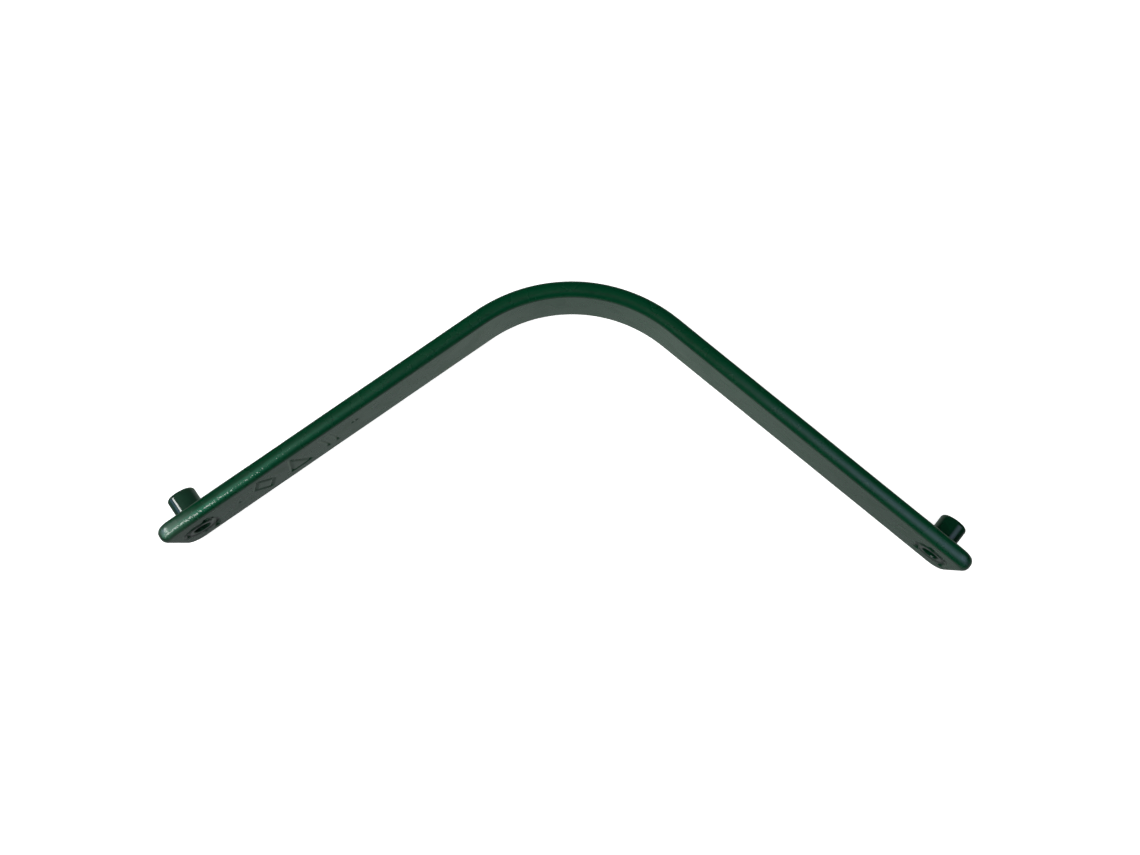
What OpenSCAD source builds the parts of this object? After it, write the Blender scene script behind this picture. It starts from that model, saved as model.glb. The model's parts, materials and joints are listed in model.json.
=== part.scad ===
// V-shaped flat-bar rung with a hollow spigot through each end.
// It lies on its lower long edge, with the bend towards +Y and the V open towards -Y.
// The origin is at the middle of its length and depth, on the surface it lies on.

/* [Bar] */
// Width of the flat bar, which is the height of the part as it lies
bar_width = 40; // [30:1:60]
// Thickness of the flat bar
bar_thickness = 8; // [6:0.5:12]
// Length of one arm along its mid-line, from where the two mid-lines would cross to the end
arm_length = 238; // [160:1:400]
// Angle between the two arms, inside the V
opening_angle = 105; // [80:1:140]
// Radius of the bend, at the bar's mid-line
bend_radius = 76; // [30:1:90]
// Rounding of the bar's long edges and of its ends
edge_radius = 3.3; // [1:0.1:3.4]
// Radius of the two corners of each end, in the plane of the bar's face
corner_radius = 8.8; // [5:0.1:11]

/* [Spigots] */
// Outside diameter of a spigot
spigot_diameter = 13.5; // [12:0.1:18]
// How far a spigot stands out of the bar's outer face
spigot_length = 12; // [9:0.5:30]
// Distance from the end of the bar to a spigot's axis
spigot_inset = 14.5; // [13:0.5:40]
// Rounding of a spigot's tip
tip_radius = 1.8; // [0.5:0.1:2]
// Diameter of the bolt hole through a spigot
bolt_hole_diameter = 8.4; // [5:0.1:9]
// Chamfer at both mouths of the bolt hole
bolt_hole_chamfer = 0.5; // [0.2:0.1:0.6]
// How much thinner a spigot's shank is than its outside, on the radius
shank_step = 0.75; // [0.5:0.05:0.9]
// Gap between a spigot's shank and its hole in the bar, on the radius
shank_gap = 0.05; // [0.02:0.01:0.1]

/* [Welds] */
// Leg of the fillet weld round a spigot's foot, on the outer face
fillet_weld_leg = 2; // [1.5:0.1:3]
// Depth of the shallow groove under that weld, which keeps its root off the seat
fillet_weld_root = 1.5; // [1:0.1:2]
// Width of the weld groove round a shank, at the inner face
groove_width = 3; // [2:0.1:3.5]
// How far the weld in that groove stands proud of the inner face
weld_crown = 0.35; // [0.2:0.05:0.6]

/* [Hidden] */
$fn = 96;

RIGHT = 1;
LEFT = -1;
// Extra length that carries a cut clear past the face it opens
CUT = 1;
// Extra turn that carries each half of the bend past the middle, where it is cut off square
LAP_ANGLE = 3;
// Number of straight steps across the crown of a weld
CROWN_STEPS = 8;

// Each arm falls away from the X axis by this angle.
slope = 90 - opening_angle / 2;
half_thickness = bar_thickness / 2;
edge_r = min(edge_radius, half_thickness - 0.2);
corner_r = max(corner_radius, edge_r + 0.5);

// Where the bend's arc ends on each arm, measured from the crossing of the mid-lines.
// It is rounded to a hundredth of a millimetre, so that the arc and the arm meet face to face.
tangent_length = round(bend_radius * tan(slope) * 100) / 100;

// The part's highest and lowest reach along Y, measured from the crossing of the mid-lines.
apex_y = bend_radius + half_thickness - bend_radius / cos(slope);
tip_y = -(arm_length - edge_r) * sin(slope) - (half_thickness - edge_r) * cos(slope) - edge_r;
vertex_y = -(apex_y + tip_y) / 2;

// The spigots
spigot_r = spigot_diameter / 2;
shank_r = spigot_r - shank_step;
bolt_hole_r = bolt_hole_diameter / 2;
shank_hole_r = shank_r + shank_gap;
spigot_along = arm_length - spigot_inset;
groove_r = shank_hole_r + groove_width;
// Outer edge of the fillet weld, where the flat seat round a spigot begins
toe_r = spigot_r + fillet_weld_leg;

// Places children on an arm: X runs along the arm to its end, Y out of its outer face, Z up.
module on_arm(side) {
    translate([0, vertex_y, 0])
        mirror([side == LEFT ? 1 : 0, 0, 0])
            rotate([0, 0, -slope])
                children();
}

// Places children on a spigot's axis within an arm's own frame.
// Z points out of the bar's outer face, which is at z = 0.
module on_spigot_axis() {
    translate([spigot_along, half_thickness, bar_width / 2])
        rotate([-90, 0, 0])
            children();
}

// Places children on the axis of the left or the right spigot.
module on_spigot(side) {
    on_arm(side) on_spigot_axis() children();
}

// Rectangle from x = 0 to length and y = -height / 2 to height / 2, with its two far corners rounded.
module rounded_end(length, height, r) {
    translate([0, -height / 2])
        square([length - r, height]);
    translate([0, r - height / 2])
        square([length, height - 2 * r]);
    for (y = [r - height / 2, height / 2 - r])
        translate([length - r, y])
            circle(r = r);
}

// Cross-section of the flat bar: thickness along X about 0, width along Y from 0.
module bar_section() {
    translate([-half_thickness, edge_r])
        square([bar_thickness, bar_width - 2 * edge_r]);
    translate([edge_r - half_thickness, 0])
        square([bar_thickness - 2 * edge_r, bar_width]);
    for (x = [edge_r - half_thickness, half_thickness - edge_r], y = [edge_r, bar_width - edge_r])
        translate([x, y])
            circle(r = edge_r);
}

// One rounded corner of an arm's end: a quarter of a disc with a rounded rim.
module end_corner() {
    rotate([90, 0, 0])
        rotate_extrude(angle = 90)
            rounded_end(corner_r, bar_thickness, edge_r);
}

// One straight arm, from the end of the bend to its rounded end.
module arm() {
    translate([tangent_length, 0, 0])
        rotate([90, 0, 90])
            linear_extrude(arm_length - corner_r - tangent_length)
                bar_section();
    translate([arm_length - corner_r, 0, corner_r])
        linear_extrude(bar_width - 2 * corner_r)
            rounded_end(corner_r, bar_thickness, edge_r);
    translate([arm_length - corner_r, 0, bar_width - corner_r])
        end_corner();
    translate([arm_length - corner_r, 0, corner_r])
        mirror([0, 0, 1])
            end_corner();
}

// Half of the bend, from its arm's start to just past the middle.
module half_bend() {
    translate([tangent_length, -bend_radius, 0])
        rotate([0, 0, 90])
            rotate_extrude(angle = slope + LAP_ANGLE)
                translate([bend_radius, 0])
                    bar_section();
}

// Hole for a spigot's shank, with a weld groove at the inner face and a shallow one at the outer face.
module shank_hole() {
    root_spread = (toe_r - shank_hole_r) / fillet_weld_root;
    translate([0, 0, -bar_thickness - CUT])
        cylinder(r = shank_hole_r, h = bar_thickness + 2 * CUT);
    translate([0, 0, -bar_thickness - CUT])
        cylinder(r1 = groove_r + CUT, r2 = shank_hole_r, h = groove_width + CUT);
    translate([0, 0, -fillet_weld_root])
        cylinder(r1 = shank_hole_r, r2 = toe_r + root_spread * CUT, h = fillet_weld_root + CUT);
}

// The right half of the bar, cut off square at the middle of the bend.
module half_bar() {
    reach = arm_length + bend_radius;
    intersection() {
        on_arm(RIGHT)
            difference() {
                union() {
                    half_bend();
                    arm();
                }
                on_spigot_axis() shank_hole();
            }
        translate([0, -reach, -CUT])
            cube([reach, 2 * reach, bar_width + 2 * CUT]);
    }
}

module bent_bar() {
    color("#0c4a2c") {
        half_bar();
        mirror([1, 0, 0]) half_bar();
    }
}

// Turned tube: a shank through the bar, a cone where the fillet weld sits, and a rounded tip.
module spigot(side) {
    color("#0f5232")
        on_spigot(side)
            difference() {
                union() {
                    translate([0, 0, -bar_thickness])
                        cylinder(r = shank_r, h = bar_thickness);
                    cylinder(r1 = shank_r, r2 = spigot_r, h = fillet_weld_leg);
                    translate([0, 0, fillet_weld_leg])
                        rotate_extrude()
                            spigot_wall(spigot_length - fillet_weld_leg);
                }
                translate([0, 0, -bar_thickness - CUT])
                    cylinder(r = bolt_hole_r, h = bar_thickness + spigot_length + 2 * CUT);
                translate([0, 0, spigot_length - bolt_hole_chamfer])
                    bolt_hole_mouth();
                translate([0, 0, bolt_hole_chamfer - bar_thickness])
                    mirror([0, 0, 1])
                        bolt_hole_mouth();
            }
}

// Half outline of a spigot's straight wall and rounded tip, to be turned about the Y axis.
module spigot_wall(height) {
    square([spigot_r, height - tip_radius]);
    square([spigot_r - tip_radius, height]);
    translate([spigot_r - tip_radius, height - tip_radius])
        circle(r = tip_radius);
}

// Chamfer at a mouth of the bolt hole, widening upwards.
module bolt_hole_mouth() {
    cylinder(r1 = bolt_hole_r,
             r2 = bolt_hole_r + bolt_hole_chamfer + CUT,
             h = bolt_hole_chamfer + CUT);
}

// Weld metal that fills the groove at the inner face, with a slightly crowned top.
module plug_weld(side) {
    color("#114a33")
        on_spigot(side)
            translate([0, 0, -bar_thickness])
                mirror([0, 0, 1])
                    rotate_extrude()
                        polygon([[shank_hole_r, -groove_width],
                                 [shank_r, -groove_width],
                                 for (i = [0:CROWN_STEPS]) crown_point(i / CROWN_STEPS)]);
}

// Point on the crown of a plug weld, at a share of the way from the shank to the groove's rim.
function crown_point(share) =
    [shank_r + share * (groove_r - shank_r), 4 * weld_crown * share * (1 - share)];

// Weld metal round a spigot's foot: a root in the shallow groove, and a concave fillet up the cone.
module fillet_weld(side) {
    color("#114a33")
        on_spigot(side)
            rotate_extrude()
                difference() {
                    polygon([[shank_hole_r, -fillet_weld_root],
                             [toe_r, 0],
                             [toe_r, fillet_weld_leg],
                             [spigot_r, fillet_weld_leg],
                             [shank_r, 0],
                             [shank_r, -fillet_weld_root]]);
                    translate([toe_r, fillet_weld_leg])
                        circle(r = fillet_weld_leg);
                }
}

module left_spigot() { spigot(LEFT); }
module right_spigot() { spigot(RIGHT); }
module left_plug_weld() { plug_weld(LEFT); }
module right_plug_weld() { plug_weld(RIGHT); }
module left_fillet_weld() { fillet_weld(LEFT); }
module right_fillet_weld() { fillet_weld(RIGHT); }

bent_bar();
left_spigot();
right_spigot();
left_plug_weld();
right_plug_weld();
left_fillet_weld();
right_fillet_weld();
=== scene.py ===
"""A V-shaped climbing rung: bent flat bar with a welded spigot through each end, in green enamel.

Every piece is built from the rung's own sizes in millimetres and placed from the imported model.
Points on the bar are first written as (along, out, up): the distance along the mid-line from the
left end, the distance out of the mid-surface, and the height. BarPath turns them into the row frame.
"""
import json
import logging
import math
from dataclasses import dataclass, field
from enum import Enum
from typing import ClassVar

import bmesh
import bpy
import numpy as np
from bpy.types import Material, NodeSocket as Socket, NodeTree as Tree, Object
from mathutils import Matrix, Vector


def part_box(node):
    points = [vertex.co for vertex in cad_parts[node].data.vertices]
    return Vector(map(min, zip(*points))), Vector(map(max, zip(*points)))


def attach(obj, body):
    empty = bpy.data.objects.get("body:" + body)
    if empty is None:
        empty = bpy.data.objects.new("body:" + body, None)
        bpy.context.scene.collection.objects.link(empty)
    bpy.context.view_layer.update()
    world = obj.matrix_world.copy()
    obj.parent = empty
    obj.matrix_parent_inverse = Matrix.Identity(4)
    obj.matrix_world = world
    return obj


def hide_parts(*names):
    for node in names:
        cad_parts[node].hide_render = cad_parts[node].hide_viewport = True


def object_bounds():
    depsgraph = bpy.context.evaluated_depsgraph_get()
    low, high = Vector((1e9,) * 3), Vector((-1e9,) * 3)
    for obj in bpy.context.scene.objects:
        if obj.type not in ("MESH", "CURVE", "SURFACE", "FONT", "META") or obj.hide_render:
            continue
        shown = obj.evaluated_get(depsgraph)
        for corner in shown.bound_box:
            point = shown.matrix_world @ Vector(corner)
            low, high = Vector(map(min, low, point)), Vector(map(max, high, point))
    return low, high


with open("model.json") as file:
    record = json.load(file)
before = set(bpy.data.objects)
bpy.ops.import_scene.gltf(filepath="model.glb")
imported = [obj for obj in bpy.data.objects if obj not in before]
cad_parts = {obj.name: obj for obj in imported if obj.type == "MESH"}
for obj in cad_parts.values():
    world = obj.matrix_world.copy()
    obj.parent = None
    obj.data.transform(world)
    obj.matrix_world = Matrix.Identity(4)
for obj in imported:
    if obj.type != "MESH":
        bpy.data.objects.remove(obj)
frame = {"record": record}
CAD_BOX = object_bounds()

MM = 0.001
BODY = "root"
# A mix node lists its colour output after those of its other data types.
MIXED = 2
Array = np.ndarray
log = logging.getLogger("rung")


# ---- shared helpers


class Side(Enum):
    """Which end of the rung a piece belongs to."""

    LEFT = -1
    RIGHT = 1

    @property
    def label(self) -> str:
        """The word that starts the names of this end's pieces."""
        return self.name.lower()


def linear(hex_colour: str) -> tuple[float, float, float, float]:
    """Turns an sRGB hex colour into the linear RGBA that shaders take.

    Args:
        hex_colour: Colour such as "#0d462a".

    Returns:
        Red, green, blue and an alpha of 1, all linear.
    """
    channels = [int(hex_colour[i:i + 2], 16) / 255 for i in (1, 3, 5)]
    red, green, blue = [c / 12.92 if c <= 0.04045 else ((c + 0.055) / 1.055) ** 2.4 for c in channels]
    return red, green, blue, 1.0


def add_node(tree: Tree, kind: str, inputs: dict | None = None, output: str | int = 0,
             **settings) -> Socket | None:
    """Adds a node with its settings, its input values and the links into it.

    Args:
        tree: The tree that gets the node.
        kind: The node's type name.
        inputs: Socket name or number, with a value or the output socket to link from.
        output: Name or number of the output socket to give back.
        **settings: Attributes to set on the node itself.

    Returns:
        That output socket, or None for a node that has no outputs.
    """
    node = tree.nodes.new(kind)
    for name, value in settings.items():
        setattr(node, name, value)
    for socket, value in (inputs or {}).items():
        if isinstance(value, Socket):
            tree.links.new(value, node.inputs[socket])
        else:
            node.inputs[socket].default_value = value
    return node.outputs[output] if node.outputs else None


def smooth_step(x: Array, low: float, high: float) -> Array:
    """Rises smoothly from 0 at low to 1 at high, or falls where low is the larger."""
    t = np.clip((x - low) / (high - low), 0, 1)
    return t * t * (3 - 2 * t)


def segment_distance(points: Array, start: tuple, end: tuple) -> Array:
    """Distance in the plane from each point to a straight stroke.

    Args:
        points: Array whose last axis holds two coordinates.
        start: One end of the stroke.
        end: Its other end.

    Returns:
        One distance for each point.
    """
    a, b = np.array(start, float), np.array(end, float)
    along = b - a
    share = np.clip(((points - a) @ along) / max(along @ along, 1e-9), 0, 1)
    return np.linalg.norm(points - (a + share[..., None] * along), axis=-1)


@dataclass(frozen=True)
class Ripple:
    """Smooth seeded unevenness: a sum of waves in random directions. Lengths in millimetres."""

    seed: int
    shortest: float
    longest: float
    height: float
    waves: int = 14

    def at(self, points: Array) -> Array:
        """Height of the unevenness at each point, between about -height and +height.

        Args:
            points: Array whose last axis holds three coordinates.

        Returns:
            One height for each point.
        """
        rng = np.random.default_rng(self.seed)
        total = np.zeros(points.shape[:-1])
        for _ in range(self.waves):
            direction = rng.normal(size=3)
            direction /= np.linalg.norm(direction)
            length = rng.uniform(self.shortest, self.longest)
            phase = rng.uniform(0, 2 * math.pi)
            total += np.sin(points @ direction * (2 * math.pi / length) + phase)
        return self.height * total / math.sqrt(self.waves) / 1.5


@dataclass(frozen=True)
class Scar:
    """A groove pressed, burnt or struck along a line of points in a face. Lengths in millimetres."""

    line: tuple
    half_width: float
    depth: float
    # Share of the half-width that is the groove's flat bottom
    bottom: float = 0.1

    def at(self, points: Array) -> Array:
        """Depth of the groove at each point of the face.

        Args:
            points: Array whose last axis holds the face's two coordinates.

        Returns:
            One depth for each point, 0 away from the groove.
        """
        nearest = np.min([segment_distance(points, a, b) for a, b in zip(self.line, self.line[1:])], axis=0)
        return self.depth * smooth_step(nearest, self.half_width, self.bottom * self.half_width)


# ---- sizes


@dataclass(frozen=True)
class BarPath:
    """The bar's mid-line seen from above: two straight arms joined by a round bend, in millimetres."""

    width: float
    top_y: float
    thickness: float = 8.0
    arm_length: float = 238.0
    opening_angle: float = 105.0
    bend_radius: float = 76.0

    @property
    def slope(self) -> float:
        """Angle by which each arm falls away from the X axis, in radians."""
        return math.radians(90 - self.opening_angle / 2)

    @property
    def length(self) -> float:
        """Length of the mid-line from end to end."""
        straight = self.arm_length - self.bend_radius * math.tan(self.slope)
        return 2 * (straight + self.bend_radius * self.slope)

    def along(self, side: Side, from_end: Array | float) -> Array | float:
        """Turns a distance from one end of the bar into a distance along the mid-line."""
        return from_end if side is Side.LEFT else self.length - from_end

    def place(self, points: Array) -> Array:
        """Turns (along, out, up) in millimetres into the row frame in metres.

        Args:
            points: Array whose last axis holds along, out and up.

        Returns:
            Array of the same shape with X, Y and Z.
        """
        along, out, up = points[..., 0], points[..., 1], points[..., 2]
        centre_y = self.top_y - self.thickness / 2 - self.bend_radius
        half = along - self.length / 2
        turn = np.clip(half / self.bend_radius, -self.slope, self.slope)
        straight = half - turn * self.bend_radius
        reach = self.bend_radius + out
        x = reach * np.sin(turn) + straight * np.cos(turn)
        y = centre_y + reach * np.cos(turn) - straight * np.sin(turn)
        return np.stack([x, y, up], axis=-1) * MM


@dataclass(frozen=True)
class SpigotSizes:
    """Sizes of a spigot and of the welds that hold it, in millimetres."""

    radius: float
    bolt_radius: float
    length: float = 12.0
    inset: float = 14.5
    tip_radius: float = 1.8
    chamfer: float = 0.5
    shank_step: float = 0.75
    shank_gap: float = 0.05
    fillet_leg: float = 2.0
    fillet_root: float = 1.5
    groove_width: float = 3.0
    crown: float = 0.35

    @property
    def shank_radius(self) -> float:
        """Radius of the thinner part that passes through the bar."""
        return self.radius - self.shank_step

    @property
    def hole_radius(self) -> float:
        """Radius of the hole in the bar."""
        return self.shank_radius + self.shank_gap

    @property
    def groove_radius(self) -> float:
        """Radius of the weld groove's rim on the inner face."""
        return self.hole_radius + self.groove_width

    @property
    def toe_radius(self) -> float:
        """Radius of the fillet weld's outer edge on the outer face."""
        return self.radius + self.fillet_leg


# ---- mesh building


class Skin:
    """Gathers grids of points into one mesh, with the direction in which each point may be pushed."""

    def __init__(self) -> None:
        """Starts with no points."""
        self.points: list[Array] = []
        self.normals: list[Array] = []
        self.faces: list[tuple[int, ...]] = []
        self.count = 0

    def add_grid(self, points: Array, normals: Array, wrap: bool = False) -> None:
        """Adds a grid of points and the quads between them.

        Args:
            points: Array of rows, columns and three coordinates.
            normals: Array of the same shape.
            wrap: Whether the last column joins the first.
        """
        rows, columns = points.shape[:2]
        last = columns if wrap else columns - 1
        for i in range(rows - 1):
            for j in range(last):
                k = (j + 1) % columns
                corners = (i * columns + j, i * columns + k, (i + 1) * columns + k, (i + 1) * columns + j)
                self.faces.append(tuple(self.count + c for c in corners))
        self.points.append(points.reshape(-1, 3))
        self.normals.append(normals.reshape(-1, 3))
        self.count += rows * columns

    def add_face(self, points: Array, facing: float | Array, wrap: bool = False) -> None:
        """Adds a grid whose points may only be pushed straight across the bar's thickness.

        Args:
            points: Array of rows, columns and three coordinates.
            facing: 1 where it faces out of the bar, -1 where it faces into the V, 0 where it stays.
            wrap: Whether the last column joins the first.
        """
        normals = np.zeros_like(points)
        normals[..., 1] = facing
        self.add_grid(points, normals, wrap)

    def finish(self, name: str, positions: Array, sharp_degrees: float = 40.0) -> Object:
        """Makes the object from the gathered faces.

        Args:
            name: The piece's name.
            positions: Final place of every gathered point, in metres.
            sharp_degrees: Edges that turn more than this stay crisp.

        Returns:
            The new object, welded, with its normals outward.
        """
        mesh = bpy.data.meshes.new(name)
        mesh.from_pydata(positions.tolist(), [], self.faces)
        shape = bmesh.new()
        shape.from_mesh(mesh)
        bmesh.ops.remove_doubles(shape, verts=shape.verts, dist=1e-6)
        bmesh.ops.recalc_face_normals(shape, faces=shape.faces)
        for face in shape.faces:
            face.smooth = True
        shape.to_mesh(mesh)
        shape.free()
        mesh.set_sharp_from_angle(angle=math.radians(sharp_degrees))
        piece = bpy.data.objects.new(name, mesh)
        bpy.context.scene.collection.objects.link(piece)
        return piece


def arc(centre: tuple, radius: float, start: float, end: float, steps: int) -> list[tuple]:
    """Points on an arc, with its angles in degrees and both ends included."""
    angles = [math.radians(start + (end - start) * i / steps) for i in range(steps + 1)]
    return [(centre[0] + radius * math.cos(a), centre[1] + radius * math.sin(a)) for a in angles]


def line(start: tuple, end: tuple, steps: int) -> list[tuple]:
    """Evenly spaced points on a straight line, with both ends included."""
    return [tuple(s + (e - s) * i / steps for s, e in zip(start, end)) for i in range(steps + 1)]


def finish_piece(piece: Object, material: Material, node: str) -> None:
    """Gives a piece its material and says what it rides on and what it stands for.

    Args:
        piece: The piece.
        material: Its finish.
        node: The CAD node that it stands for.
    """
    piece.data.materials.append(material)
    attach(piece, BODY)
    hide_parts(node)
    log.info("%s: %d faces in %s", piece.name, len(piece.data.polygons), material.name)


# ---- finishes


@dataclass(frozen=True)
class Placing:
    """Where an arm lies, for patterns that follow it. Lengths in metres."""

    corner: tuple
    slope: float

    def along(self, tree: Tree, side: Side) -> Socket:
        """Adds nodes that measure the distance along one arm from the crossing of the mid-lines."""
        return self._measure(tree, (side.value * math.cos(self.slope), -math.sin(self.slope), 0.0))

    def out(self, tree: Tree, side: Side) -> Socket:
        """Adds nodes that measure the distance out of one arm's mid-surface."""
        return self._measure(tree, (side.value * math.sin(self.slope), math.cos(self.slope), 0.0))

    def _measure(self, tree: Tree, direction: tuple) -> Socket:
        """Adds nodes that measure the distance from the corner in a direction.

        Args:
            tree: The material's tree.
            direction: A vector of length 1.

        Returns:
            The socket with the distance in metres.
        """
        place = add_node(tree, "ShaderNodeTexCoord", output="Object")
        offset = add_node(tree, "ShaderNodeVectorMath", {0: place, 1: self.corner}, operation="SUBTRACT")
        return add_node(tree, "ShaderNodeVectorMath", {0: offset, 1: direction}, "Value",
                        operation="DOT_PRODUCT")


@dataclass(frozen=True)
class HighlightBand:
    """A painted highlight along a stretch of one arm's upper edge: a pale colour standing in for a lamp's
    reflection. Lengths in metres.

    The eye sees a soft pale band a little inside the middle of the edge, stronger towards the end.
    """

    side: Side
    colour: str
    # Distances from the crossing of the mid-lines where the band begins, and where it is full
    start: float
    full: float
    # More than 1 makes the band grow more slowly at first.
    curve: float = 1.0
    centre: float = -0.0015
    half_width: float = 0.0022
    # How far the band drifts from side to side, and over what length
    wander: float = 0.0002
    wander_length: float = 0.02
    # Heights between which the painted highlight fades in
    foot: float = 0.037
    top: float = 0.039

    def strength(self, tree: Tree, placing: Placing) -> Socket:
        """Adds nodes that say how strong the band is.

        Args:
            tree: The material's tree.
            placing: Where the arms lie.

        Returns:
            The socket with 0 to 1.
        """
        place = add_node(tree, "ShaderNodeTexCoord", output="Object")
        up = add_node(tree, "ShaderNodeSeparateXYZ", {0: place}, "Z")
        high = add_node(tree, "ShaderNodeMapRange",
                        {"Value": up, "From Min": self.foot, "From Max": self.top})
        grown = add_node(tree, "ShaderNodeMapRange",
                         {"Value": placing.along(tree, self.side), "From Min": self.start,
                          "From Max": self.full})
        grown = add_node(tree, "ShaderNodeMath", {0: grown, 1: self.curve}, operation="POWER")
        drift = add_node(tree, "ShaderNodeTexNoise",
                         {"Vector": place, "Scale": 1 / self.wander_length, "Detail": 2.0})
        # The noise seldom leaves the middle half of its range, so the range is twice the drift.
        middle = add_node(tree, "ShaderNodeMapRange",
                          {"Value": drift, "To Min": self.centre + 2 * self.wander,
                           "To Max": self.centre - 2 * self.wander})
        aside = add_node(tree, "ShaderNodeMath", {0: placing.out(tree, self.side), 1: middle},
                         operation="SUBTRACT")
        aside = add_node(tree, "ShaderNodeMath", {0: aside}, operation="ABSOLUTE")
        across = add_node(tree, "ShaderNodeMapRange",
                          {"Value": aside, "From Min": self.half_width, "From Max": 0.0},
                          interpolation_type="SMOOTHSTEP")
        strength = add_node(tree, "ShaderNodeMath", {0: grown, 1: across}, operation="MULTIPLY")
        return add_node(tree, "ShaderNodeMath", {0: strength, 1: high}, operation="MULTIPLY")


@dataclass(frozen=True)
class GlossEnamel:
    """Gloss alkyd enamel over steel, dipped or sprayed: deep colour under a smooth clear surface.

    The eye sees a dark green that only shows its colour where light falls straight on it, and
    reflections that are nearly sharp, broken a little by the orange peel of the dried film.
    """

    name: str
    colour: str = "#00492b"
    deep_colour: str = "#003e24"
    roughness: float = 0.27
    roughness_spread: float = 0.06
    ior: float = 1.5
    # Orange peel of sprayed enamel is 1 to 3 mm across.
    peel_mm: float = 2.2
    peel_strength: float = 0.03
    # Thicker and thinner patches of the film are a few centimetres across.
    patch_mm: float = 35.0

    def build(self) -> Material:
        """Makes the material.

        Returns:
            The material, with the shader as its last node.
        """
        material = bpy.data.materials.new(self.name)
        material.use_nodes = True
        tree = material.node_tree
        tree.nodes.clear()
        place = add_node(tree, "ShaderNodeTexCoord", output="Object")
        patches = add_node(tree, "ShaderNodeTexNoise",
                           {"Vector": place, "Scale": 1 / (self.patch_mm * MM), "Detail": 3.0})
        colour = add_node(tree, "ShaderNodeMix",
                          {0: patches, 6: linear(self.deep_colour), 7: linear(self.colour)}, MIXED,
                          data_type="RGBA")
        smear = add_node(tree, "ShaderNodeTexNoise",
                         {"Vector": place, "Scale": 1 / (self.patch_mm * 0.3 * MM), "Detail": 4.0})
        rough = add_node(tree, "ShaderNodeMapRange",
                         {"Value": smear, "From Min": 0.3, "From Max": 0.7,
                          "To Min": self.roughness - self.roughness_spread / 2,
                          "To Max": self.roughness + self.roughness_spread / 2})
        peel = add_node(tree, "ShaderNodeTexNoise",
                        {"Vector": place, "Scale": 1 / (self.peel_mm * MM), "Detail": 1.0})
        bump = add_node(tree, "ShaderNodeBump",
                        {"Height": peel, "Strength": self.peel_strength, "Distance": 0.1 * MM})
        colour, rough = self.dress(tree, place, colour, rough)
        shader = add_node(tree, "ShaderNodeBsdfPrincipled",
                          {"Base Color": colour, "Roughness": rough, "IOR": self.ior, "Normal": bump})
        add_node(tree, "ShaderNodeOutputMaterial", {"Surface": shader})
        return material

    def dress(self, tree: Tree, place: Socket, colour: Socket, rough: Socket) -> tuple[Socket, Socket]:
        """Adds wear and painted highlights over the film; plain enamel has none. Returns the colour and the
        roughness.
        """
        return colour, rough


@dataclass(frozen=True)
class ScratchedEnamelWithPaintedHighlights(GlossEnamel):
    """The bar's enamel, with painted highlights along both arms' upper edges and, near the left end, in a
    line of scratched specks.

    The eye sees soft pale bands, and near the left end a broken line of bright, matt specks.
    """

    placing: Placing | None = None
    bands: tuple[HighlightBand, ...] = ()
    # A near-white line of specks: a painted highlight, broken up where the edge is scratched.
    scratched_highlight: HighlightBand | None = None
    # The specks of that painted highlight are a little under a millimetre across.
    speck_mm: float = 0.7
    # Specks lie where their noise is over this level, which the highlight line and the first highlight band
    # lower.
    speck_level: float = 0.71
    line_drop: float = 0.21
    band_drop: float = 0.08
    # How far over that level a speck takes the full colour of the painted highlight
    speck_fade: float = 0.06
    # Strength of the first painted highlight band at which specks may be full
    band_gate: float = 0.05
    # Roughness that the scratched paint under the specks adds
    speck_roughness: float = 0.3

    def dress(self, tree: Tree, place: Socket, colour: Socket, rough: Socket) -> tuple[Socket, Socket]:
        """Adds the painted highlight bands, and the painted highlight line that the scratched paint breaks
        into specks.

        Args:
            tree: The material's tree.
            place: Coordinates in the row frame.
            colour: The film's colour.
            rough: Its roughness.

        Returns:
            Both, with the painted highlights and the scratched specks.
        """
        # Each band mixes a pale colour into the film's colour: a painted highlight.
        for band in self.bands:
            strength = band.strength(tree, self.placing)
            colour = add_node(tree, "ShaderNodeMix", {0: strength, 6: colour, 7: linear(band.colour)},
                              MIXED, data_type="RGBA")
        narrow = self.scratched_highlight.strength(tree, self.placing)
        wide = self.bands[0].strength(tree, self.placing)
        specks = add_node(tree, "ShaderNodeTexNoise",
                          {"Vector": place, "Scale": 1 / (self.speck_mm * MM), "Detail": 4.0,
                           "Roughness": 0.65})
        level = add_node(tree, "ShaderNodeMath", {0: narrow, 1: -self.line_drop, 2: self.speck_level},
                         operation="MULTIPLY_ADD")
        level = add_node(tree, "ShaderNodeMath", {0: wide, 1: -self.band_drop, 2: level},
                         operation="MULTIPLY_ADD")
        above = add_node(tree, "ShaderNodeMath", {0: specks, 1: level}, operation="SUBTRACT")
        speck_mask = add_node(tree, "ShaderNodeMapRange", {"Value": above, "From Max": self.speck_fade},
                        interpolation_type="SMOOTHSTEP")
        inside = add_node(tree, "ShaderNodeMapRange", {"Value": wide, "From Max": self.band_gate})
        speck_mask = add_node(tree, "ShaderNodeMath", {0: speck_mask, 1: inside}, operation="MULTIPLY")
        # The specks take the near-white colour of the painted highlight line.
        highlighted = add_node(tree, "ShaderNodeMix", {0: speck_mask, 6: colour, 7: linear(self.scratched_highlight.colour)},
                        MIXED, data_type="RGBA")
        rough = add_node(tree, "ShaderNodeMath", {0: speck_mask, 1: self.speck_roughness, 2: rough},
                         operation="MULTIPLY_ADD")
        return highlighted, rough


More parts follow.
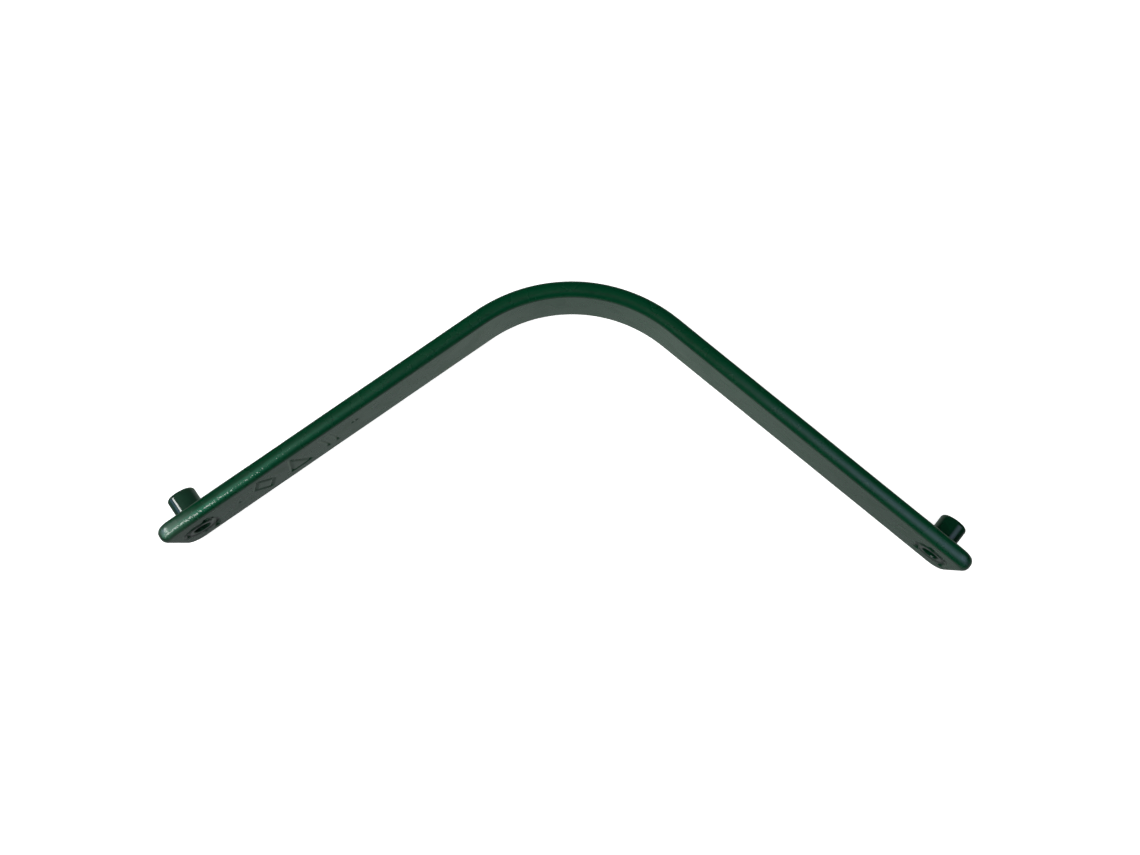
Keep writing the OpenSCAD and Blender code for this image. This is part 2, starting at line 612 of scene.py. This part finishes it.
# Painted highlights along the arms' upper edges: pale green-white on the left, the bluish grey of a
# window's reflection on the right.
PAINTED_HIGHLIGHT_BANDS = (
    HighlightBand(Side.LEFT, "#2c8563", 0.05, 0.21, curve=2.5, centre=-0.0013, half_width=0.0021),
    HighlightBand(Side.LEFT, "#7a9c8b", 0.214, 0.240, centre=-0.0004, half_width=0.0044),
    HighlightBand(Side.RIGHT, "#3f5d5c", 0.08, 0.18, centre=-0.0010, half_width=0.0022),
)
# A near-white line near the left end: a painted highlight, which the scratched paint breaks into specks.
SCRATCHED_HIGHLIGHT_LINE = HighlightBand(Side.LEFT, "#cfe4d6", 0.14, 0.225, curve=1.2, centre=-0.0016, half_width=0.0010,
                       wander=0.0004)


# ---- the bar


# Generic marks struck into the left arm's inner face, as (distance from the end, height).
STRUCK_MARKS = (
    Scar(((50.5, 32.4), (55.6, 21.6), (50.5, 10.8), (45.4, 21.6), (50.5, 32.4)), 1.0, 0.7),
    Scar(((68.2, 32.0), (73.6, 11.4), (62.8, 11.4), (68.2, 32.0)), 1.0, 0.7),
    Scar(((84.6, 13.0), (84.6, 30.0)), 1.0, 0.7),
    Scar(((89.8, 13.0), (89.8, 30.0)), 1.0, 0.7),
    Scar(((35.7, 19.6), (35.8, 21.2)), 0.9, 0.5),
    Scar(((101.4, 24.4), (101.5, 25.4)), 0.9, 0.5),
    Scar(((103.9, 24.4), (104.0, 25.4)), 0.9, 0.5),
)

# The shallow, patchy undercut where the weld meets the inner face
UNDERCUT_RADIUS = 9.05
UNDERCUT_HALF_WIDTH = 0.7
UNDERCUT_DEPTH = 0.3
UNDERCUT_SEED = 31

# Undercuts and spatter scars round the weld on the inner face, from the spigot's axis.
WELD_SCARS = {
    Side.LEFT: (
        Scar(((7.7, 2.2), (7.2, -3.5), (4.9, -7.6), (3.2, -12.2)), 1.4, 1.1),
        Scar(((5.4, 8.3), (6.5, 9.9)), 1.8, 0.87),
        Scar(((6.5, 9.9), (8.3, 7.0), (7.7, 2.2)), 1.0, 0.58),
        Scar(((-7.4, 0.6), (-5.6, 4.6), (-3.0, 6.9)), 1.3, 0.72),
        Scar(((-3.0, 6.9), (0.6, 7.8), (4.4, 8.2)), 0.91, 0.43),
        Scar(((-1.6, -7.6), (-2.0, -9.8)), 1.2, 0.58),
    ),
    Side.RIGHT: (
        Scar(((-5.8, 4.8), (-8.1, -1.0), (-8.9, -6.6)), 1.6, 1.1),
        Scar(((7.3, 1.6), (6.8, -3.2), (4.9, -7.8)), 1.6, 1.1),
        Scar(((2.2, 8.2), (3.8, 9.5)), 1.8, 0.87),
        Scar(((-5.6, 5.0), (-3.4, 7.4), (-0.4, 8.2)), 1.0, 0.51),
    ),
}


@dataclass
class BentBar:
    """The flat bar, bent into a V, with rounded edges and ends and a weld-filled hole in each end."""

    path: BarPath
    spigot: SpigotSizes
    edge_radius: float = 3.3
    corner_radius: float = 8.8
    # Length of the stretch at each end whose mesh runs in rings round the hole
    end_patch: float = 30.0
    # The struck marks lie between the end patch and this distance from the left end.
    marks_end: float = 108.0
    # Steps of the mesh: across the marks, along the rest, and round an end's sides and its middle
    fine_step: float = 0.5
    coarse_step: float = 1.6
    side_step: float = 0.8
    middle_step: float = 0.6
    ring_count: int = 12
    corner_steps: int = 10
    rounding_steps: int = 8
    # The nicks lie in a stretch of the left arm's upper edge, most of them near its start.
    nick_count: int = 26
    nicks_start: float = 4.0
    nicks_length: float = 120.0
    nicks_crowding: float = 1.4
    seed: int = 7
    rows: Array = field(init=False)

    def __post_init__(self) -> None:
        """Works out the heights of the faces' rows."""
        span = self.path.width - 2 * self.edge_radius
        self.rows = np.linspace(self.edge_radius, self.path.width - self.edge_radius,
                                round(span / self.fine_step) + 1)

    def build(self) -> Object:
        """Builds the bar's closed mesh.

        Returns:
            The bar.
        """
        skin = Skin()
        half = self.path.thickness / 2
        for facing, rim in ((-1.0, self.spigot.groove_radius), (1.0, self.spigot.toe_radius)):
            along, up = np.meshgrid(self.columns(), self.rows)
            skin.add_face(np.stack([along, np.full_like(along, facing * half), up], axis=-1), facing)
            for side in Side:
                skin.add_face(self._ring_loops(side, facing * half, rim), facing, wrap=True)
        for side in Side:
            self._add_hole(skin, side)
        self._add_rim(skin)
        points, normals = np.concatenate(skin.points), np.concatenate(skin.normals)
        points = points + normals * self.relief(points, normals)[:, None]
        return skin.finish("bent_bar_enamelled", self.path.place(points))

    def dress(self, piece: Object, material: Material) -> None:
        """Puts the finish on and stands the piece in for its CAD node."""
        finish_piece(piece, material, "bent_bar")

    def columns(self) -> Array:
        """Distances along the bar of the face's columns, between the two end patches.

        Returns:
            Rising distances, closer together where the marks are.
        """
        last = self.path.length - self.end_patch
        fine = np.linspace(self.end_patch, self.marks_end,
                           round((self.marks_end - self.end_patch) / self.fine_step) + 1)
        coarse = np.linspace(self.marks_end, last, round((last - self.marks_end) / self.coarse_step) + 1)
        return np.concatenate([fine, coarse[1:]])

    def end_outline(self) -> Array:
        """Edge of the flat face round one end, from the patch's top corner round to its bottom corner.

        Returns:
            Rows of distance from the end, height, and the outward normal's two parts.
        """
        low, top = self.edge_radius, self.path.width - self.edge_radius
        inner = self.corner_radius - self.edge_radius
        c, width = self.corner_radius, self.path.width
        steps = round((self.end_patch - c) / self.side_step)
        end_steps = round((width - 2 * c) / self.middle_step)
        rows = [(*p, 0.0, 1.0) for p in line((self.end_patch, top), (c, top), steps)[:-1]]
        for centre, start in (((c, width - c), 90.0), ((c, c), 180.0)):
            for p in arc(centre, inner, start, start + 90, self.corner_steps):
                rows.append((*p, (p[0] - centre[0]) / inner, (p[1] - centre[1]) / inner))
            if start == 90.0:
                side = line((low, width - c), (low, c), end_steps)[1:-1]
                rows += [(*p, -1.0, 0.0) for p in side]
        rows += [(*p, 0.0, -1.0) for p in line((c, low), (self.end_patch, low), steps)[1:]]
        return np.array(rows)

    def _ring_loops(self, side: Side, out: float, rim: float) -> Array:
        """Loops of points from a hole's rim to the edge of an end patch.

        Args:
            side: Which end.
            out: Distance of the face from the mid-surface.
            rim: The hole's radius in this face.

        Returns:
            Array of loops, points and (along, out, up).
        """
        outline = self.end_outline()[:, :2]
        arm_side = np.array([(self.end_patch, up) for up in self.rows[1:-1]])
        border = np.concatenate([outline, arm_side])
        centre = np.array([self.spigot.inset, self.path.width / 2])
        away = border - centre
        start = centre + away * (rim / np.linalg.norm(away, axis=1))[:, None]
        shares = np.linspace(0, 1, self.ring_count + 1)
        loops = start + shares[:, None, None] * (border - start)
        along = self.path.along(side, loops[..., 0])
        return np.stack([along, np.full_like(along, out), loops[..., 1]], axis=-1)

    def _add_hole(self, skin: Skin, side: Side) -> None:
        """Adds the wall of one end's hole, with its weld groove at both faces.

        Args:
            skin: The mesh that gets it.
            side: Which end.
        """
        half = self.path.thickness / 2
        stations = ((-half, self.spigot.groove_radius, -1.0),
                    (-half + self.spigot.groove_width, self.spigot.hole_radius, 0.0),
                    (half - self.spigot.fillet_root, self.spigot.hole_radius, 0.0),
                    (half, self.spigot.toe_radius, 1.0))
        loops = np.stack([self._ring_loops(side, out, rim)[0] for out, rim, _ in stations])
        skin.add_face(loops, np.array([[facing] for _, _, facing in stations]), wrap=True)

    def _add_rim(self, skin: Skin) -> None:
        """Adds the rounded edge that runs all the way round the bar.

        Args:
            skin: The mesh that gets it.
        """
        left = self.end_outline()
        low, top = self.edge_radius, self.path.width - self.edge_radius
        columns = self.columns()[1:-1]
        right = left[::-1].copy()
        right[:, 0] = self.path.length - right[:, 0]
        right[:, 2] *= -1
        bottom = [(s, low, 0.0, -1.0) for s in columns]
        upper = [(s, top, 0.0, 1.0) for s in columns[::-1]]
        along, up, away, above = np.concatenate([left, bottom, right, upper]).T
        reach, out, sideways, facing = np.array(self._rim_profile()).T[..., None]
        level = np.zeros_like(along)
        points = np.stack([along + away * reach, level + out, up + above * reach], axis=-1)
        normals = np.stack([away * sideways, level + facing, above * sideways], axis=-1)
        skin.add_grid(points, normals, wrap=True)

    def _rim_profile(self) -> list[tuple]:
        """Section of the rounded edge, from the inner face to the outer.

        Returns:
            Rows of reach past the face's edge, distance out, and the normal's two parts.
        """
        r, half = self.edge_radius, self.path.thickness / 2
        angles = [math.radians(90 * i / self.rounding_steps) for i in range(self.rounding_steps + 1)]
        inner = [(r * math.sin(a), r * (1 - math.cos(a)) - half, math.sin(a), -math.cos(a)) for a in angles]
        flat = [(*p, 1.0, 0.0) for p in line((r, r - half), (r, half - r), 3)[1:-1]]
        outer = [(reach, -out, sideways, -facing) for reach, out, sideways, facing in reversed(inner)]
        return inner + flat + outer

    def relief(self, points: Array, normals: Array) -> Array:
        """How far each point of the surface is pushed along its normal, in millimetres.

        Args:
            points: Rows of along, out and up.
            normals: The surface's normals in the same directions.

        Returns:
            One distance for each point, none of them outward.
        """
        waves = Ripple(self.seed, shortest=30, longest=80, height=0.03)
        flow = Ripple(self.seed + 1, shortest=5, longest=12, height=0.004)
        push = waves.at(points) - waves.height + flow.at(points) - flow.height
        inner = np.clip(-normals[:, 1], 0, 1)
        face = points[:, [0, 2]]
        for mark in STRUCK_MARKS:
            push -= inner * mark.at(face)
        for side in Side:
            push -= inner * weld_scarring(side, self.from_axis(side, points))
        push -= self._nicks(points)
        return np.minimum(push, 0.0)

    def from_axis(self, side: Side, points: Array) -> Array:
        """Distance from a spigot's axis towards the bend, and upwards, of each point."""
        from_end = self.path.along(side, points[..., 0])
        return np.stack([from_end - self.spigot.inset, points[..., 2] - self.path.width / 2], axis=-1)

    def _nicks(self, points: Array) -> Array:
        """Depth of the small knocks along the left arm's upper edge.

        Args:
            points: Rows of along, out and up.

        Returns:
            One depth for each point.
        """
        rng = np.random.default_rng(self.seed + 2)
        depth = np.zeros(len(points))
        for _ in range(self.nick_count):
            along = self.nicks_start + self.nicks_length * rng.random() ** self.nicks_crowding
            # Across the edge, the nicks keep to its middle and its inner side.
            centre = np.array([along, rng.uniform(-2.4, 1.2), self.path.width])
            reach = np.array([rng.uniform(0.9, 2.6), rng.uniform(0.5, 0.9), 1.2])
            far = np.sum(((points - centre) / reach) ** 2, axis=1)
            depth += rng.uniform(0.05, 0.14) * np.exp(-far)
        return depth


def weld_scarring(side: Side, offsets: Array) -> Array:
    """Depth of the scars round one end's weld on the inner face, shared by the bar and the weld.

    Args:
        side: Which end.
        offsets: Distances from the spigot's axis towards the bend and upwards, in millimetres.

    Returns:
        One depth for each point.
    """
    depths = [scar.at(offsets) for scar in WELD_SCARS[side]]
    from_rim = np.abs(np.linalg.norm(offsets, axis=-1) - UNDERCUT_RADIUS)
    patches = Ripple(UNDERCUT_SEED + side.value, shortest=6, longest=14, height=0.5)
    strength = np.clip(patches.at(np.insert(offsets, 2, 0.0, axis=-1)) + 0.5, 0, 1)
    depths.append(UNDERCUT_DEPTH * strength * smooth_step(from_rim, UNDERCUT_HALF_WIDTH, 0.1))
    return np.max(depths, axis=0)


# ---- turned pieces


@dataclass
class TurnedGrid:
    """The points of a turned surface, in millimetres and radians."""

    # Distance from the axis
    radius: Array
    # Distance out of the bar's mid-surface
    out: Array
    angle: Array

    @property
    def places(self) -> Array:
        """The points as offsets from the axis towards the bend and upwards, and distances out."""
        return np.stack([self.radius * np.cos(self.angle), self.radius * np.sin(self.angle), self.out],
                        axis=-1)


@dataclass
class TurnedPiece:
    """A closed outline turned about a spigot's axis, with its surface made slightly uneven."""

    # The end of its CAD node's name, and its material slot
    part: ClassVar[str]
    slot: ClassVar[str]

    path: BarPath
    spigot: SpigotSizes
    side: Side
    segments: int = 144

    def turn(self, name: str, outline: list[tuple], sharp_degrees: float = 40.0) -> Object:
        """Turns the outline about the spigot's axis.

        Args:
            name: The piece's name.
            outline: Closed outline as (radius, distance out of the bar's mid-surface).
            sharp_degrees: Edges that turn more than this stay crisp.

        Returns:
            The piece.
        """
        closed = np.array([*outline, outline[0]], float)
        angles = np.arange(self.segments) * (2 * math.pi / self.segments)
        radius, angle = np.meshgrid(closed[:, 0], angles, indexing="ij")
        out = np.broadcast_to(closed[:, 1:], radius.shape)
        grid = TurnedGrid(radius, out, angle)
        self.make_uneven(grid)
        towards_bend, up, out = np.moveaxis(grid.places, -1, 0)
        along = self.path.along(self.side, self.spigot.inset + towards_bend)
        points = np.stack([along, out, self.path.width / 2 + up], axis=-1)
        skin = Skin()
        skin.add_face(points, 0.0, wrap=True)
        return skin.finish(name, self.path.place(np.concatenate(skin.points)), sharp_degrees)

    def make_uneven(self, grid: TurnedGrid) -> None:
        """Moves points off the true outline; a plain turned piece stays true."""

    def dress(self, piece: Object, material: Material) -> None:
        """Puts the finish on and stands the piece in for its CAD node."""
        finish_piece(piece, material, f"{self.side.label}_{self.part}")


# How much the dried film wanders round the mouth of each bolt hole, on the radius, in millimetres
RAGGED_MOUTHS = {Side.LEFT: 0.12, Side.RIGHT: 0.3}


@dataclass
class Spigot(TurnedPiece):
    """A turned tube through the bar, with a rounded tip and a chamfered bolt hole."""

    part: ClassVar[str] = "spigot"
    slot: ClassVar[str] = "spigot_paint"

    seed: int = 11

    def build(self) -> Object:
        """Builds the spigot.

        Returns:
            The piece.
        """
        size, half = self.spigot, self.path.thickness / 2
        tip, lip, bore = half + size.length, size.bolt_radius + size.chamfer, size.bolt_radius
        shoulder = (size.radius, half + size.fillet_leg)
        round_off = arc((size.radius - size.tip_radius, tip - size.tip_radius), size.tip_radius, 0, 90, 8)
        outline = [(size.shank_radius, -half), *line((size.shank_radius, half), shoulder, 3),
                   *line(shoulder, (size.radius, tip - size.tip_radius), 8)[1:-1], *round_off]
        for end, steps in (((lip, tip), 2), ((bore, tip - size.chamfer), 2),
                           ((bore, size.chamfer - half), 12), ((lip, -half), 2)):
            outline += line(outline[-1], end, steps)[1:]
        return self.turn(f"{self.side.label}_spigot_tube", outline)

    def make_uneven(self, grid: TurnedGrid) -> None:
        """Thickens the film unevenly round the mouths of the bolt hole.

        Args:
            grid: The points, which it moves.
        """
        size, half = self.spigot, self.path.thickness / 2
        wander = Ripple(self.seed + self.side.value, shortest=2.5, longest=7, height=1.0)
        bore = smooth_step(grid.radius, size.bolt_radius + 1.2, size.bolt_radius + 0.2)
        mouth = smooth_step(grid.out, 1.0 - half, 0.1 - half)
        # A quarter of it shows all along the bore, and the rest at the mouth inside the V.
        strength = bore * (0.25 + 0.75 * mouth) * RAGGED_MOUTHS[self.side]
        grid.radius = grid.radius + strength * wander.at(grid.places)


@dataclass
class PlugWeld(TurnedPiece):
    """The ring of weld that fills the groove round a shank on the inner face."""

    part: ClassVar[str] = "plug_weld"
    slot: ClassVar[str] = "weld_paint"

    seed: int = 23
    crown_steps: int = 14
    ripple_count: int = 26
    ripple_height: float = 0.05
    # How far the bead dips under the plate's surface at its rim
    tuck: float = 0.25

    def build(self) -> Object:
        """Builds the weld.

        Returns:
            The piece.
        """
        size, half = self.spigot, self.path.thickness / 2
        crown = [(size.shank_radius + share * (size.groove_radius - size.shank_radius),
                  -half - 4 * size.crown * share * (1 - share))
                 for share in np.linspace(0, 1, self.crown_steps + 1)]
        root = (size.hole_radius, size.groove_width - half)
        outline = [*crown, *line((size.groove_radius, self.tuck - half), root, 4),
                   (size.shank_radius, size.groove_width - half)]
        return self.turn(f"{self.side.label}_plug_weld_bead", outline, 55)

    def make_uneven(self, grid: TurnedGrid) -> None:
        """Gives the bead its ripples and scars.

        Args:
            grid: The points, which it moves.
        """
        half = self.path.thickness / 2
        top = smooth_step(grid.out, 0.02 - half, -half)
        lumps = Ripple(self.seed + self.side.value, shortest=3, longest=9, height=0.1)
        spread = (grid.radius - self.spigot.shank_radius) / self.spigot.groove_width
        # The ripples trail a little from the ring's inside to its outside, as a weaving rod leaves them.
        ripples = self.ripple_height * np.sin(self.ripple_count * grid.angle + 2.2 * spread)
        lift = (lumps.at(grid.places) + ripples) * np.clip(4 * spread * (1 - spread), 0, 1)
        sunk = weld_scarring(self.side, grid.places[..., :2])
        grid.out = grid.out + top * (sunk - np.minimum(lift, 0.0))


@dataclass
class FilletWeld(TurnedPiece):
    """The hollow fillet of weld round a spigot's foot on the outer face."""

    part: ClassVar[str] = "fillet_weld"
    slot: ClassVar[str] = "weld_paint"

    ripple_count: int = 22
    ripple_height: float = 0.07

    def build(self) -> Object:
        """Builds the weld.

        Returns:
            The piece.
        """
        size, half = self.spigot, self.path.thickness / 2
        hollow = arc((size.toe_radius, half + size.fillet_leg), size.fillet_leg, 270, 180, 12)
        outline = [*hollow, *line(hollow[-1], (size.shank_radius, half), 3)[1:],
                   (size.shank_radius, half - size.fillet_root),
                   *line((size.hole_radius, half - size.fillet_root), hollow[0], 3)[:-1]]
        return self.turn(f"{self.side.label}_fillet_weld_bead", outline, 55)

    def make_uneven(self, grid: TurnedGrid) -> None:
        """Gives the fillet its shallow ripples.

        Args:
            grid: The points, which it moves.
        """
        size, half = self.spigot, self.path.thickness / 2
        across = np.clip((grid.radius - size.radius) / size.fillet_leg, 0, 1)
        shown = 4 * across * (1 - across) * smooth_step(grid.out, half - 0.1, half)
        wave = np.sin(self.ripple_count * grid.angle + 3 * across)
        grid.out = grid.out + shown * self.ripple_height * wave


# ---- studio


class LampUse(Enum):
    """What a lamp does for the rung."""

    LIGHT = "lights it, and is kept out of its gloss"
    GLOSS = "shows in its gloss only"


@dataclass(frozen=True)
class SoftBox:
    """A rectangular lamp that points at the rung. Sizes in metres, brightness in watts per square metre."""

    name: str
    direction: tuple
    distance: float
    width: float
    height: float
    brightness: float
    colour: str = "#ffffff"
    # Direction that the lamp's width follows
    width_axis: tuple = (1.0, 0.0, 0.0)
    use: LampUse = LampUse.GLOSS

    def build(self, target: Vector) -> None:
        """Makes the lamp.

        Args:
            target: Point that it faces.
        """
        lamp = bpy.data.lights.new(self.name, "AREA")
        lamp.shape = "RECTANGLE"
        lamp.size, lamp.size_y = self.width, self.height
        lamp.energy = self.brightness * math.pi * self.width * self.height
        lamp.color = linear(self.colour)[:3]
        holder = bpy.data.objects.new(self.name, lamp)
        bpy.context.scene.collection.objects.link(holder)
        away = Vector(self.direction).normalized()
        across = Vector(self.width_axis)
        across = (across - away * across.dot(away)).normalized()
        holder.location = target + away * self.distance
        holder.rotation_euler = Matrix((across, away.cross(across), away)).transposed().to_euler()
        holder.visible_camera = False
        holder.visible_glossy = self.use is not LampUse.LIGHT
        holder.visible_diffuse = self.use is not LampUse.GLOSS


@dataclass(frozen=True)
class Backdrop:
    """A pale paper floor that sweeps up into a round wall, well clear of the rung."""

    radius: float = 4.0
    bend: float = 1.5
    wall: float = 2.5
    colour: str = "#f4f4f2"
    glow: float = 0.93
    rings: int = 12
    segments: int = 96

    def build(self) -> None:
        """Makes the floor and marks it as the stage."""
        flat = self.radius - self.bend
        section = [(r, 0.0) for r in np.linspace(0.02, flat, self.rings)]
        section += [(x, y + self.bend) for x, y in arc((flat, 0.0), self.bend, 270, 360, self.rings)[1:]]
        section.append((self.radius, self.bend + self.wall))
        angles = np.arange(self.segments) * (2 * math.pi / self.segments)
        points = np.array([[(r * math.cos(a), r * math.sin(a), z) for a in angles] for r, z in section])
        skin = Skin()
        skin.add_face(points, 0.0, wrap=True)
        skin.faces.append(tuple(range(len(angles))))
        piece = skin.finish("paper_backdrop", np.concatenate(skin.points))
        piece.data.materials.append(self.paper())
        # Lamps stand outside the paper, and gloss shows the room beyond it.
        piece.visible_shadow = False
        piece.visible_glossy = False
        piece.visible_diffuse = False

    def paper(self) -> Material:
        """Makes the matt paper, lit from behind so that the eye sees an even white.

        Returns:
            The material.
        """
        material = bpy.data.materials.new("white_background_paper_matt")
        material.use_nodes = True
        tree = material.node_tree
        tree.nodes.clear()
        shader = add_node(tree, "ShaderNodeBsdfPrincipled",
                          {"Base Color": linear(self.colour), "Roughness": 0.9,
                           "Specular IOR Level": 0.0,
                           "Emission Color": linear("#ffffff"), "Emission Strength": self.glow})
        add_node(tree, "ShaderNodeOutputMaterial", {"Surface": shader})
        return material


@dataclass(frozen=True)
class Room:
    """The light of the room beyond the lamps: dim above, and thrown back by the floor below."""

    near_floor: tuple = (0.185, 0.16, 0.187)
    far_floor: tuple = (0.357, 0.417, 0.381)
    upper: tuple = (0.015, 0.017, 0.018)
    # How far a direction leans towards +Y where the floor's two colours are reached
    near_lean: float = -0.4
    far_lean: float = -0.1

    def build(self) -> None:
        """Makes the world."""
        world = bpy.data.worlds.new("dim_studio")
        bpy.context.scene.world = world
        world.use_nodes = True
        tree = world.node_tree
        tree.nodes.clear()
        direction = add_node(tree, "ShaderNodeTexCoord", output="Generated")
        lean = add_node(tree, "ShaderNodeSeparateXYZ", {0: direction}, "Y")
        rise = add_node(tree, "ShaderNodeSeparateXYZ", {0: direction}, "Z")
        lean = add_node(tree, "ShaderNodeMapRange",
                        {"Value": lean, "From Min": self.near_lean, "From Max": self.far_lean})
        floor = add_node(tree, "ShaderNodeMix",
                         {0: lean, 6: (*self.near_floor, 1.0), 7: (*self.far_floor, 1.0)}, MIXED,
                         data_type="RGBA")
        below = add_node(tree, "ShaderNodeMapRange", {"Value": rise, "From Min": -0.1, "From Max": -0.6},
                         interpolation_type="SMOOTHSTEP")
        colour = add_node(tree, "ShaderNodeMix", {0: below, 6: (*self.upper, 1.0), 7: floor}, MIXED,
                          data_type="RGBA")
        background = add_node(tree, "ShaderNodeBackground", {"Color": colour})
        add_node(tree, "ShaderNodeOutputWorld", {"Surface": background})


@dataclass(frozen=True)
class Viewpoint:
    """The camera: its direction in degrees, its distance in metres, and its lens in millimetres."""

    azimuth: float = -8.405
    elevation: float = 83.0
    roll: float = 10.50
    distance: float = 0.4625
    aim: tuple = (0.01267, -0.00247, 0.0)
    lens: float = 29.947
    sensor: float = 36.0
    shift_x: float = -0.02565

    def build(self, centre: Vector) -> None:
        """Makes the camera and gives it to the scene.

        Args:
            centre: Middle of the rung.
        """
        a, e = math.radians(self.azimuth), math.radians(self.elevation)
        back = Vector((math.sin(a) * math.cos(e), -math.cos(a) * math.cos(e), math.sin(e)))
        data = bpy.data.cameras.new("camera")
        data.lens, data.sensor_width, data.shift_x = self.lens, self.sensor, self.shift_x
        data.clip_start, data.clip_end = 0.01, 100.0
        camera = bpy.data.objects.new("camera", data)
        bpy.context.scene.collection.objects.link(camera)
        facing = (-back).to_track_quat("-Z", "Y").to_matrix().to_4x4()
        turned = facing @ Matrix.Rotation(math.radians(self.roll), 4, "Z")
        camera.location = centre + Vector(self.aim) + back * self.distance
        camera.rotation_euler = turned.to_euler()
        bpy.context.scene.camera = camera


LEFT_SPIGOT_AXIS = (-0.609, 0.793, 0.0)
RIGHT_SPIGOT_AXIS = (0.609, 0.793, 0.0)
SOFT_BOXES = (
    SoftBox("overhead_key", (-0.3, -0.12, 0.94), 1.6, 1.4, 1.2, 3.6, use=LampUse.LIGHT),
    SoftBox("front_fill", (0.0, -0.87, -0.5), 1.6, 1.6, 1.0, 2.0, use=LampUse.LIGHT),
    SoftBox("back_fill", (0.0, 0.87, -0.5), 1.6, 1.6, 1.0, 2.0, use=LampUse.LIGHT),
    SoftBox("front_window", (0.35, -0.42, 0.84), 1.5, 0.9, 0.8, 0.14, "#c9d2ea"),
    SoftBox("left_strip", (-0.79, -0.25, 0.56), 1.2, 0.5, 0.24, 16.0, width_axis=LEFT_SPIGOT_AXIS),
    SoftBox("left_window", (-0.93, -0.29, 0.24), 1.2, 0.5, 0.35, 2.2, "#8fa0d8",
            width_axis=LEFT_SPIGOT_AXIS),
    SoftBox("right_window", (0.69, -0.24, 0.68), 1.2, 0.6, 0.45, 0.8, "#b9c6e8",
            width_axis=RIGHT_SPIGOT_AXIS),
    SoftBox("right_halo", (0.69, -0.24, 0.68), 1.25, 0.6, 0.95, 0.8, "#b9c6e8",
            width_axis=RIGHT_SPIGOT_AXIS),
)


def main() -> None:
    """Builds the rung, piece by piece, then the studio."""
    logging.basicConfig(level=logging.INFO, format="%(name)s: %(message)s")
    bpy.context.scene.view_settings.view_transform = "Standard"
    low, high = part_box("bent_bar")
    mounts = {mount["name"]: mount for mount in frame["record"]["mounts"]}
    path = BarPath(width=(high.z - low.z) / MM, top_y=high.y / MM)
    sizes = SpigotSizes(radius=mounts["left_pin"]["dims"]["r_mm"],
                        bolt_radius=mounts["left_bolt_hole"]["dims"]["r_mm"])
    corner_y = path.top_y - path.thickness / 2 - path.bend_radius + path.bend_radius / math.cos(path.slope)
    placing = Placing(corner=(0.0, corner_y * MM, 0.0), slope=path.slope)

    # Rolled steel leaves the paint slightly uneven, so its reflections are soft.
    # Its colour also carries painted highlights along the arms' upper edges.
    bar_paint = ScratchedEnamelWithPaintedHighlights("gloss_enamel_on_rolled_steel_bar", placing=placing, bands=PAINTED_HIGHLIGHT_BANDS,
                              scratched_highlight=SCRATCHED_HIGHLIGHT_LINE).build()
    # Turned steel is smooth under its paint, so its reflections are sharp.
    # The left spigot gets a paler, greyer copy of the same enamel: painted light where the lamps on its
    # left fall on it.
    spigot_paints = {
        Side.LEFT: GlossEnamel("dusty_gloss_enamel_on_turned_steel", "#284c3a", "#1d3e2e", roughness=0.13,
                               roughness_spread=0.02).build(),
        # The right spigot's enamel is darker than the bar's: painted shade, so that its bore looks
        # near-black.
        Side.RIGHT: GlossEnamel("gloss_enamel_on_turned_steel", "#063a24", "#042c1b", roughness=0.12,
                                roughness_spread=0.02).build(),
    }
    # The ripples of weld metal under the paint break its reflections up.
    # Its colour is darker than the bar's enamel: painted shade in the hollows round the welds.
    weld_paint = GlossEnamel("gloss_enamel_on_weld_metal", "#063a24", "#042c1b", roughness=0.24).build()

    bar = BentBar(path, sizes)
    bar.dress(bar.build(), bar_paint)
    for side in Side:
        for sub_part, material in ((Spigot(path, sizes, side), spigot_paints[side]),
                                   (PlugWeld(path, sizes, side), weld_paint),
                                   (FilletWeld(path, sizes, side), weld_paint)):
            sub_part.dress(sub_part.build(), material)

    centre = (CAD_BOX[0] + CAD_BOX[1]) / 2
    Backdrop().build()
    Room().build()
    for box in SOFT_BOXES:
        box.build(centre)
    Viewpoint().build(centre)


if __name__ == "__main__":
    main()
